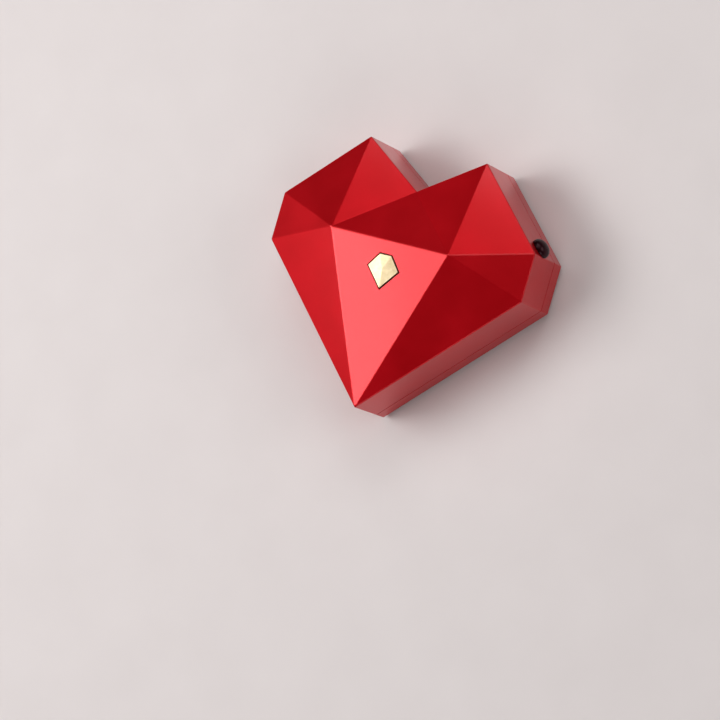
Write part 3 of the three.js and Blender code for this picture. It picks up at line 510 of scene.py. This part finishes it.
def rubber_foot(node):
    """A turned pad with a rounded edge and one moulded groove in its sole."""
    low, high = (Vector(corner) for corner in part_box(node))
    radius = (high.x - low.x) / 2
    height = high.z - low.z
    groove = GROOVE_PLACE * radius
    profile = [
        (0, 0),
        (groove - GROOVE_WIDTH, 0),
        (groove - GROOVE_WIDTH / 2, GROOVE_DEPTH),
        (groove + GROOVE_WIDTH / 2, GROOVE_DEPTH),
        (groove + GROOVE_WIDTH, 0),
        (radius, 0),
        (radius, height),
        (0, height),
    ]
    centre = middle(node)
    place = Matrix.Translation((centre.x, centre.y, low.z))
    stand_for(node, turned(softened(profile, FOOT_ROUND), FOOT_SIDES, place))


def winding_crown():
    """A domed enamel crown, turned round the winding arbor's axis, with a socket for its end."""
    joint = JOINTS["crown_turn"]
    axis = Vector(joint["axis"]).normalized()
    origin = Vector(joint["pos_m"])
    points = [vertex.co - origin for vertex in NODES["winding_crown"].data.vertices]
    heights = [point.dot(axis) for point in points]
    radii = [(point - axis * height).length for point, height in zip(points, heights)]
    foot, top, radius = min(heights), max(heights), max(radii)
    socket_floor = foot + SOCKET_DEPTH
    rise = top - foot - CROWN_RIM
    steps = CROWN_SIDES // 4
    slopes = [math.pi / 2 * step / steps for step in range(steps)]
    dome = [(radius * math.cos(slope), foot + CROWN_RIM + rise * math.sin(slope)) for slope in slopes]
    skirt = softened([(SOCKET_RADIUS, foot), (radius, foot), dome[0]], CROWN_ROUND)
    profile = [(0, socket_floor), (SOCKET_RADIUS, socket_floor), *skirt, *dome[1:], (0, top)]
    place = Matrix.Translation(origin) @ axis.to_track_quat("Z", "Y").to_matrix().to_4x4()
    stand_for("winding_crown", turned(profile, CROWN_SIDES, place))


# ---- Screws -----------------------------------------------------------------------------------------

SCREW_SIDES = 36
THREAD_PITCH = 0.5 * MM
THREAD_DEPTH = 0.13 * MM
FIRST_CREST = 0.75  # pitches from a screw's tip to its first crest
TIP_SHARE = 0.7  # of the shank's radius
ABOVE_HEAD = 0.5 * MM
UNDER_HEAD = 0.1 * MM

# Shares of a head's height: where its dome starts, the round on its corners, and the slot's depth.
DOME_START = 0.3
HEAD_ROUND = 0.35
SLOT_DEPTH = 0.5

# Shares of a head's radius: its rim, its flat top, the slot's half width, and half the length of a
# cross's slots and of a single slot, which runs right through.
HEAD_RIM = 0.95
FLAT_TOP = 0.6
SLOT_HALF = 0.13
CROSS_REACH = 0.62
SLOT_REACH = 1.5

# The first screw's slot stops at this angle, and each next one this much further round.
STOP_ANGLE = math.radians(23)
STOP_STEP = math.radians(53)


def cutter(half_length, half_width, depth, turn):
    """A slot cutter that reaches down from just above the top of a screw's head."""
    solid = bmesh.new()
    bmesh.ops.create_cube(solid, size=2)
    for vertex in solid.verts:
        x, y, z = vertex.co
        vertex.co = turn @ Vector((half_length * x, half_width * y, ABOVE_HEAD if z > 0 else -depth))
    return solid


def threaded(shank, start, end):
    """Profile of a threaded shank from its tip up to its head, the thread drawn as rings."""
    turns = int((end - start) / THREAD_PITCH) - 1
    profile = [(0, start), (shank * TIP_SHARE, start)]
    for turn in range(turns):
        crest = start + (turn + FIRST_CREST) * THREAD_PITCH
        profile += [(shank, crest), (shank - THREAD_DEPTH, crest + THREAD_PITCH / 2)]
    return profile + [(shank, start + (turns + FIRST_CREST) * THREAD_PITCH), (shank, end)]


def fine_screw(node, head_down, cross, stop):
    """A turned screw with a domed head, whose slot or cross stops at its own angle."""
    centre = middle(node)
    low, high = (corner[2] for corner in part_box(node))
    top = low if head_down else high
    corners = [vertex.co for vertex in NODES[node].data.vertices]
    points = [((corner.xy - centre.xy).length, abs(corner.z - top)) for corner in corners]
    head = max(radius for radius, depth in points)
    seat = max(depth for radius, depth in points if radius > HEAD_RIM * head)
    shank = max(radius for radius, depth in points if depth > seat + UNDER_HEAD)
    flip = Matrix.Rotation(math.pi if head_down else 0.0, 4, "X")
    place = Matrix.Translation((centre.x, centre.y, top)) @ flip
    dome = [(head, -seat), (head, -DOME_START * seat), (FLAT_TOP * head, 0), (0, 0)]
    profile = threaded(shank, low - high, -seat) + softened(dome, HEAD_ROUND * seat)
    solid = turned(profile, SCREW_SIDES, Matrix())
    half_length = (CROSS_REACH if cross else SLOT_REACH) * head
    for quarter in range(2 if cross else 1):
        turn = Matrix.Rotation(stop + quarter * math.pi / 2, 4, "Z")
        solid = carve(solid, cutter(half_length, SLOT_HALF * head, SLOT_DEPTH * seat, turn))
    bmesh.ops.transform(solid, matrix=place, verts=solid.verts)
    stand_for(node, solid)


def screws():
    """All the screws: cross heads in the case, slotted heads in the movement."""
    for number, node in enumerate(sorted(name for name in NODES if "_screw_" in name)):
        in_case = node.startswith("case_")
        fine_screw(node, head_down=in_case, cross=in_case, stop=STOP_ANGLE + STOP_STEP * number)


# ---- Movement ---------------------------------------------------------------------------------------

BROKEN_EDGE = {"brass": 0.07 * MM, "steel": 0.05 * MM, "zinc": 0.2 * MM, "nylon": 0.06 * MM}
BROKEN_ANGLE = 35
KEPT_SHARP = ("music_cylinder", "lever_pin", "gem_plunger")
CRISP_ANGLE = math.radians(32)


def broken_edges():
    """Breaks the hard edges of the machined pieces that nothing stands for yet."""
    for node in sorted(NODES):
        width = BROKEN_EDGE.get(NODE_SLOTS[node])
        is_replaced = node + "_finished" in bpy.data.objects
        if width and not is_replaced and node not in KEPT_SHARP:
            rounded(node, (lambda edge: turn_angle(edge) > BROKEN_ANGLE, width, 1))


def finish_cad_nodes():
    """Gives every CAD node its material, smooth round faces and crisp edges."""
    for name, node in NODES.items():
        dress(node, NODE_SLOTS[name])
        for face in node.data.polygons:
            face.use_smooth = True
        weld = node.modifiers.new("weld", "WELD")
        weld.merge_threshold = WELD
        split = node.modifiers.new("crisp_edges", "EDGE_SPLIT")
        split.split_angle = CRISP_ANGLE


# ---- Floor, light and camera ------------------------------------------------------------------------

FLOOR_HALF = 3.0


def floor():
    """A pale sheet of paper, much wider than the box."""
    mesh = bpy.data.meshes.new("floor")
    corners = [(x * FLOOR_HALF, y * FLOOR_HALF, 0) for x, y in ((-1, -1), (1, -1), (1, 1), (-1, 1))]
    mesh.from_pydata(corners, [], [(0, 1, 2, 3)])
    plane = bpy.data.objects.new("floor", mesh)
    bpy.context.collection.objects.link(plane)
    paper = Shader("pale_paper", specular_ior_level=0.2)
    fibre = paper.noise(0.8 * MM, detail=4)
    paper.colours(paper.noise(25 * MM, detail=3), (0.79, 0.725, 0.715), (0.81, 0.745, 0.735))
    paper.roughness(fibre, 0.7, 0.9)
    paper.relief((fibre, 0.03 * MM, 0.3))
    mesh.materials.append(paper.material)


# Soft boxes: azimuth round the music box from +X and angle above the floor (degrees), width and height
# (metres), power (watts).
SOFT_BOXES = {
    "key": (185, 42, 0.6, 0.4, 2.6),
    "key_upper": (200, 50, 0.6, 0.4, 1.6),
    "big_facet_gloss": (211, 59, 0.4, 0.4, 1.9),
    "top": (88, 44, 0.6, 0.3, 1.7),
    "overhead": (92, 70, 0.8, 0.3, 1.2),
    "upper_left": (150, 60, 0.4, 0.4, 0.6),
    "right_fill": (20, 28, 0.6, 0.4, 2.0),
    "low_fill": (300, 30, 0.6, 0.4, 1.7),
}
LIGHT_DISTANCE = 1.0
SKY = 0.03


def soft_box(name, azimuth, elevation, width, height, watts):
    """One rectangular light that faces the box from its place round it."""
    data = bpy.data.lights.new(name, "AREA")
    data.shape = "RECTANGLE"
    data.size = width
    data.size_y = height
    data.energy = watts
    light = bpy.data.objects.new(name, data)
    bpy.context.collection.objects.link(light)
    around = Matrix.Rotation(math.radians(azimuth), 3, "Z")
    upward = Matrix.Rotation(math.radians(-elevation), 3, "Y")
    towards = around @ upward @ Vector((1, 0, 0))
    light.location = towards * LIGHT_DISTANCE
    light.rotation_euler = towards.to_track_quat("Z", "Y").to_euler()


def studio():
    """All the soft boxes, and a faint even sky."""
    for name, setting in SOFT_BOXES.items():
        soft_box(name, *setting)
    world = bpy.data.worlds.new("studio")
    world.use_nodes = True
    world.node_tree.nodes["Background"].inputs["Color"].default_value = (1, 1, 1, 1)
    world.node_tree.nodes["Background"].inputs["Strength"].default_value = SKY
    bpy.context.scene.world = world
    bpy.context.scene.view_settings.view_transform = "Standard"


# The camera looks down at the box from its right, rolled so that the heart stands upright in the picture
# and leans a little to the right.
CAMERA_PLACE = Vector((0.5499, -0.0802, 1.1425))
CAMERA_AZIMUTH = math.radians(84.84)
CAMERA_ELEVATION = math.radians(63.56)
CAMERA_ROLL = math.radians(-69.33)
LENS = 179.3
FARTHEST = 10


def camera():
    """The camera's turn is an azimuth, then a tilt down from level, then a roll."""
    data = bpy.data.cameras.new("camera")
    data.lens = LENS
    data.clip_end = FARTHEST
    view = bpy.data.objects.new("camera", data)
    bpy.context.collection.objects.link(view)
    around = Matrix.Rotation(CAMERA_AZIMUTH, 4, "Z")
    tilt = Matrix.Rotation(math.pi / 2 - CAMERA_ELEVATION, 4, "X")
    roll = Matrix.Rotation(CAMERA_ROLL, 4, "Z")
    view.matrix_world = Matrix.Translation(CAMERA_PLACE) @ around @ tilt @ roll
    bpy.context.scene.camera = view


# ---- Build ------------------------------------------------------------------------------------------

finish_cad_nodes()
case_shells()
gem_button()
winding_crown()
for foot in sorted(name for name in NODES if name.startswith("foot_")):
    rubber_foot(foot)
screws()
broken_edges()
floor()
studio()
camera()
